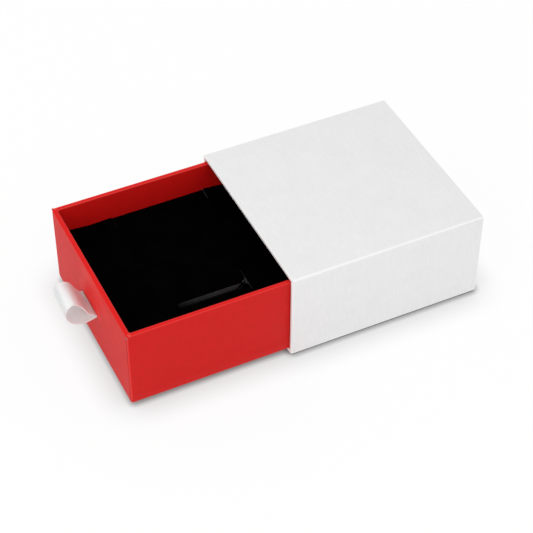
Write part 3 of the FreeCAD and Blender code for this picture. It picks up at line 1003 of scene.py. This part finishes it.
def bend_lip(piece, lip, fold, slot):
    """Bends a flat lip down into the slot, softly at its fold and more at the slot's back end."""
    end_length = 3.2 * MM
    ease = 0.6 * MM
    lead = 0.5 * MM
    for vert in piece.data.vertices:
        at = vert.co
        end = max(0.0, 1 - (slot[1].y - at.y) / end_length)
        end = end * end * (3 - 2 * end)
        angle = math.radians(lip.fall + (lip.end_fall - lip.fall) * end)
        out = (at.x - fold) * lip.way
        if out > 0:
            out *= 1 + (lip.end_reach - 1) * end
        under = (PAD_HIGH.z - at.z) * (1 - 0.5 * end)
        bent = max(0.0, out + lead - (lip.end_fold * MM + lead) * end)
        soft = bent * bent / (bent + ease)
        turned = angle * bent / (bent + ease)
        at.x = fold + lip.way * (out - (1 - math.cos(angle)) * soft - under * math.sin(turned))
        at.z = PAD_HIGH.z - math.sin(angle) * soft - under * math.cos(turned)


def top_tip(edge, fold, way):
    """Whether an edge is one of the lip's upper edges on its free side."""
    free = all((v.co.x - fold) * way > 0.2 * MM for v in edge.verts)
    return free and any(f.normal.z > 0.7 for f in edge.link_faces)


RIBBON_STRIPS = 12
# The loop's two edges: out from the drawer's front and up from the slit, in mm.
FAR_LOOP = (
    (0.3, 0.2), (1.23, 0.4), (3.46, 3.6), (4.37, 5.94), (6.41, 8.01), (9.11, 8.48), (10.86, 6.94),
    (11.33, 3.69), (9.8, 0.42), (7.4, -0.8), (4.44, -1.27), (1.98, -0.7),
)
NEAR_LOOP = (
    (0.15, 0.5), (0.48, 1.06), (3.5, 2.85), (4.37, 5.85), (7.64, 9.88), (10.07, 9.46), (12.13, 7.1),
    (11.94, 3.68), (10.47, 1.26), (8.29, -0.5), (4.91, -1.34), (1.78, -0.67),
)


class GIFTBOX_OT_ribbon(bpy.types.Operator):
    """Bends the satin pull: out through the front, round a loose loop, back in and down inside"""

    bl_idname = "giftbox.ribbon"
    bl_label = "Ribbon pull"

    def execute(self, context):
        ribbon = context.scene.gift_box_ribbon
        front, inner = TRAY_LOW.y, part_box("ribbon_patch")[0].y
        slit = hinge("ribbon_flex")[2]
        middle = (TAILS_LOW.x + TAILS_HIGH.x) / 2
        far_rail, piece = (
            ribbon_rail(ribbon_route(loop, front, inner, slit), middle - RIBBON_HALF)
            for loop in (FAR_LOOP, NEAR_LOOP))
        far_run, near_run = (
            [vert.co.copy() for vert in rail.data.vertices] for rail in (far_rail, piece))
        bpy.data.objects.remove(far_rail)
        piece.name = "satin_pull"
        piece.data.name = "satin_pull"
        edit_all(piece)
        for _ in range(RIBBON_STRIPS):
            extrude(x=2 * RIBBON_HALF / RIBBON_STRIPS)
        finish_editing()
        lay_cloth_map(piece, middle)
        shift = {height_and_reach(a): b - a for a, b in zip(near_run, far_run)}
        for vert in piece.data.vertices:
            share = (middle + RIBBON_HALF - vert.co.x) / (2 * RIBBON_HALF)
            vert.co += shift[height_and_reach(vert.co)] * share
        edit_all(piece)
        bpy.ops.mesh.normals_make_consistent(inside=False)
        finish_editing()
        crest = max(piece.data.polygons, key=lambda face: face.center.z)
        if crest.normal.z < 0:
            edit_all(piece)
            bpy.ops.mesh.flip_normals()
        before_loop = inner - TAILS_LOW.z + slit - front
        # The inside is a painted, less red copy of the satin, against the red light the drawer
        # throws into the loop.
        red, green, blue = ribbon.satin
        wear(
            piece, satin("white_satin", ribbon.satin, 0.5, before_loop),
            satin("white_satin_inside", (0.957 * red, 1.02 * green, 1.02 * blue), 1.0),
            satin_edge(ribbon.satin),
        )
        apply(
            piece, "SOLIDIFY", thickness=ribbon.thickness, offset=0,
            material_offset=1, material_offset_rim=2,
        )
        smooth(piece, 60)
        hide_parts("ribbon_loop", "ribbon_tails")
        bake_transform(piece)
        return {"FINISHED"}


def ribbon_route(loop, front, inner, slit):
    """One edge's way from tail to tail, as (y, z): up inside, out, round the loop and back."""
    gap = 0.2 * MM
    halfway, below, foot = slit - 5 * MM, slit - gap, TAILS_LOW.z + gap
    over, inmost = slit + gap, inner - 2.8 * gap
    return [
        (inner - gap, foot), (inner - 1.5 * gap, halfway), (inner - gap, over),
        (front + 1.8 * MM, over), (front + 0.6 * MM, over),
        *((front - out * MM, slit + up * MM) for out, up in loop),
        (front - 0.6 * MM, below), (front + 0.6 * MM, below),
        (inmost, slit - 1.5 * gap), (inmost, halfway), (inmost, foot),
    ]


def ribbon_rail(route, x):
    """One edge of the ribbon: a smooth line through a route of (y, z) control points."""
    finish_editing()
    bpy.ops.curve.primitive_nurbs_path_add(location=(0, 0, 0))
    curve = bpy.context.object
    curve.data.splines.clear()
    spline = curve.data.splines.new("NURBS")
    spline.points.add(len(route) - 1)
    for point, (y, z) in zip(spline.points, route):
        point.co = (x, y, z, 1)
    spline.order_u = 3
    spline.use_endpoint_u = True
    curve.data.resolution_u = 12
    bpy.ops.object.convert(target="MESH")
    return bpy.context.object


def height_and_reach(place):
    """A point's y and z, rounded so that they name the thread that runs across the ribbon there."""
    return round(place.y, 7), round(place.z, 7)


def lay_cloth_map(piece, middle):
    """Gives a ribbon of parallel runs its own map, in metres: across it, then along it."""
    verts = piece.data.vertices
    side = middle - RIBBON_HALF
    joins = {v.index: [] for v in verts if near(v.co.x, side, 2e-5)}
    for edge in piece.data.edges:
        a, b = edge.vertices
        if a in joins and b in joins:
            joins[a].append(b)
            joins[b].append(a)
    here = next(index for index, others in joins.items() if len(others) == 1)
    came, run = None, 0.0
    runs = {}
    while here is not None:
        runs[height_and_reach(verts[here].co)] = run
        onward = [index for index in joins[here] if index != came]
        came, here = here, onward[0] if onward else None
        if here is not None:
            run += (verts[here].co - verts[came].co).length
    cloth = piece.data.uv_layers.new(name="cloth")
    for loop in piece.data.loops:
        at = verts[loop.vertex_index].co
        cloth.data[loop.index].uv = (at.x - middle + RIBBON_HALF, runs[height_and_reach(at)])


# ---- Stage

FLOOR_SIZE = 6
LAMP_SIZE = 0.3
FRONT_LAMP_PLACE = (0.1, -0.5, 0.42)
SIDE_LAMP_PLACE = (0.6, -0.1, 0.42)
LIT_PLACE = Vector((0, -0.03, 0.02))
CAMERA_PLACE = (0.43093, -0.24137, 0.47082)
CAMERA_TURN = (64.115, 43.973, 0.241)  # azimuth, height and roll in degrees
CAMERA_LENS = 113.41
CAMERA_SENSOR = 36
NEAREST_SEEN = 0.01
WIDE_SHADOW, CLOSE_SHADOW = 13.8 * MM, 2.6 * MM
UNDERSIDE_REACH = 6 * MM


class GIFTBOX_OT_stage(bpy.types.Operator):
    """Sets the floor, the light and the camera"""

    bl_idname = "giftbox.stage"
    bl_label = "Stage"

    def execute(self, context):
        stage = context.scene.gift_box_stage
        finish_editing()
        bpy.ops.mesh.primitive_plane_add(size=FLOOR_SIZE, location=(0, 0, 0))
        floor = bpy.context.object
        floor.name = "floor"
        floor.data.materials.append(floor_finish(stage.floor_lift))
        context.scene.world = even_light(stage.sky)
        add_lamp("front_lamp", FRONT_LAMP_PLACE, stage.lamp)
        add_lamp("side_lamp", SIDE_LAMP_PLACE, stage.side_lamp)
        context.scene.camera = add_camera()
        context.scene.view_settings.view_transform = "Standard"
        return {"FINISHED"}


def even_light(sky):
    """White light from all round, seen as plain white by the camera and through clear things."""
    world = bpy.data.worlds.new("even_light")
    world.use_nodes = True
    tree = Nodes(world.node_tree)
    path = tree.node("ShaderNodeLightPath").outputs
    seen = tree.math("MAXIMUM", path["Is Camera Ray"], path["Is Transmission Ray"])
    tree.feed(tree.nodes["Background"], Color=(1, 1, 1), Strength=tree.between(seen, 0, 1, sky, 1))
    return world


def add_lamp(name, place, power):
    """A large round lamp that points at the box."""
    lamp = bpy.data.lights.new(name, "AREA")
    lamp.shape = "DISK"
    lamp.size = LAMP_SIZE
    lamp.energy = power
    held = bpy.data.objects.new(name, lamp)
    held.location = place
    held.rotation_euler = (LIT_PLACE - held.location).to_track_quat("-Z", "Y").to_euler()
    bpy.context.scene.collection.objects.link(held)


def add_camera():
    """The camera, turned to its azimuth, height and roll."""
    camera = bpy.data.cameras.new("camera")
    camera.lens = CAMERA_LENS
    camera.sensor_width = CAMERA_SENSOR
    camera.clip_start = NEAREST_SEEN
    stand = bpy.data.objects.new("camera", camera)
    azimuth, height, roll = (math.radians(angle) for angle in CAMERA_TURN)
    level = math.cos(height)
    away = Vector((math.sin(azimuth) * level, -math.cos(azimuth) * level, math.sin(height)))
    right = Vector((math.cos(azimuth), math.sin(azimuth), 0))
    up = away.cross(right)
    right, up = (
        math.cos(roll) * right + math.sin(roll) * up,
        math.cos(roll) * up - math.sin(roll) * right,
    )
    turn = Matrix((right, up, away)).transposed().to_4x4()
    stand.matrix_world = Matrix.Translation(CAMERA_PLACE) @ turn
    bpy.context.scene.collection.objects.link(stand)
    return stand


def floor_finish(lift):
    """A white floor, darker only where something stands close to it, and clear from below."""
    material = bpy.data.materials.new("white_floor")
    material.use_nodes = True
    tree = Nodes(material.node_tree)
    tree.nodes.clear()
    path = tree.node("ShaderNodeLightPath").outputs

    def openness(reach, power):
        """How little stands within reach of a place: 1 where nothing does."""
        close = tree.node("ShaderNodeAmbientOcclusion", samples=16)
        tree.feed(close, Distance=reach)
        return tree.math("POWER", close.outputs["AO"], power)

    plain = tree.node("ShaderNodeBsdfDiffuse")
    tree.feed(plain, Color=(0.97, 0.97, 0.97))
    glow = tree.node("ShaderNodeEmission")
    tree.feed(glow, Strength=tree.times(openness(WIDE_SHADOW, 0.5), openness(CLOSE_SHADOW, 1.3)))
    white = tree.layered(tree.times(path["Is Camera Ray"], lift), plain, glow)
    below = tree.node("ShaderNodeNewGeometry").outputs["Backfacing"]
    gone = tree.math("MAXIMUM", below, under_the_box(tree, path))
    floor = tree.layered(gone, white, tree.node("ShaderNodeBsdfTransparent"))
    tree.feed(tree.node("ShaderNodeOutputMaterial"), Surface=floor.outputs[0])
    return material


def under_the_box(tree, path):
    """1 for light between the box and the floor under it, so that the underside isn't black."""
    x, y, _ = tree.split(tree.node("ShaderNodeTexCoord").outputs["Object"])
    low, high = CAD_BOX
    return tree.times(*(tree.math(test, value, limit) for value, test, limit in (
        (x, "GREATER_THAN", low[0]), (x, "LESS_THAN", high[0]),
        (y, "GREATER_THAN", TRAY_LOW.y), (y, "LESS_THAN", high[1]),
        (path["Ray Length"], "LESS_THAN", UNDERSIDE_REACH),
        (path["Is Camera Ray"], "LESS_THAN", 0.5),
    )))


STEPS = (
    "giftbox.stage", "giftbox.boards", "giftbox.sleeve", "giftbox.drawer", "giftbox.insert",
    "giftbox.flaps", "giftbox.ribbon",
)
SETTINGS = {
    "gift_box_paper": GiftBoxPaper, "gift_box_insert": GiftBoxInsert,
    "gift_box_ribbon": GiftBoxRibbon, "gift_box_stage": GiftBoxStage,
}


class GIFTBOX_PT_steps(bpy.types.Panel):
    """Lists the steps that dress the gift box"""

    bl_idname = "GIFTBOX_PT_steps"
    bl_label = "Gift box"
    bl_space_type = "VIEW_3D"
    bl_region_type = "UI"
    bl_category = "Gift box"

    def draw(self, context):
        for step in STEPS:
            self.layout.operator(step)
        for name, group in SETTINGS.items():
            box = self.layout.box()
            held = getattr(context.scene, name)
            for key in group.__annotations__:
                box.prop(held, key)


CLASSES = (
    *SETTINGS.values(), GIFTBOX_OT_boards, GIFTBOX_OT_sleeve, GIFTBOX_OT_drawer, GIFTBOX_OT_insert,
    GIFTBOX_OT_flaps, GIFTBOX_OT_ribbon, GIFTBOX_OT_stage, GIFTBOX_PT_steps,
)


def register():
    for kind in CLASSES:
        bpy.utils.register_class(kind)
    for name, kind in SETTINGS.items():
        setattr(bpy.types.Scene, name, PointerProperty(type=kind))


def unregister():
    for name in SETTINGS:
        delattr(bpy.types.Scene, name)
    for kind in reversed(CLASSES):
        bpy.utils.unregister_class(kind)


def main():
    register()
    for step in STEPS:
        group, name = step.split(".")
        getattr(getattr(bpy.ops, group), name)()


if __name__ == "__main__":
    main()
